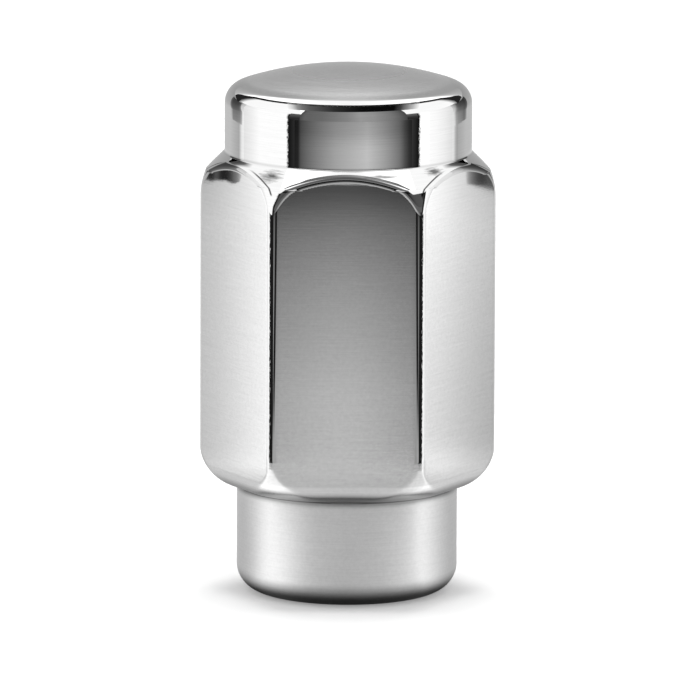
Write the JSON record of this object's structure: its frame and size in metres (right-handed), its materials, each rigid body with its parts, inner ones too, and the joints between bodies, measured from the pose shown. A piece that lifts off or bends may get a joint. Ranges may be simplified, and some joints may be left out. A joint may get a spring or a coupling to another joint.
{
  "type": "lug nut",
  "caption": "Closed-end shank lug nut: a chrome-plated hexagon with a plain round shank below, a round neck and shallow dome above, and a blind threaded hole up from the shank's end.",
  "frame": {"origin": "centre of the shank's end face, on the axis of the threaded hole", "axes": "+Z along the hole's axis from the shank's end to the dome; -Y square to one wrench flat, with two corners of the hexagon on X"},
  "size_m": [0.024, 0.021, 0.043],
  "materials": {
    "chrome": "bright plating over steel: polished head and crown, satin flats and finely brushed shank"
  },
  "bodies": {
    "root": {"lug_nut": "chrome"}
  },
  "joints": []
}
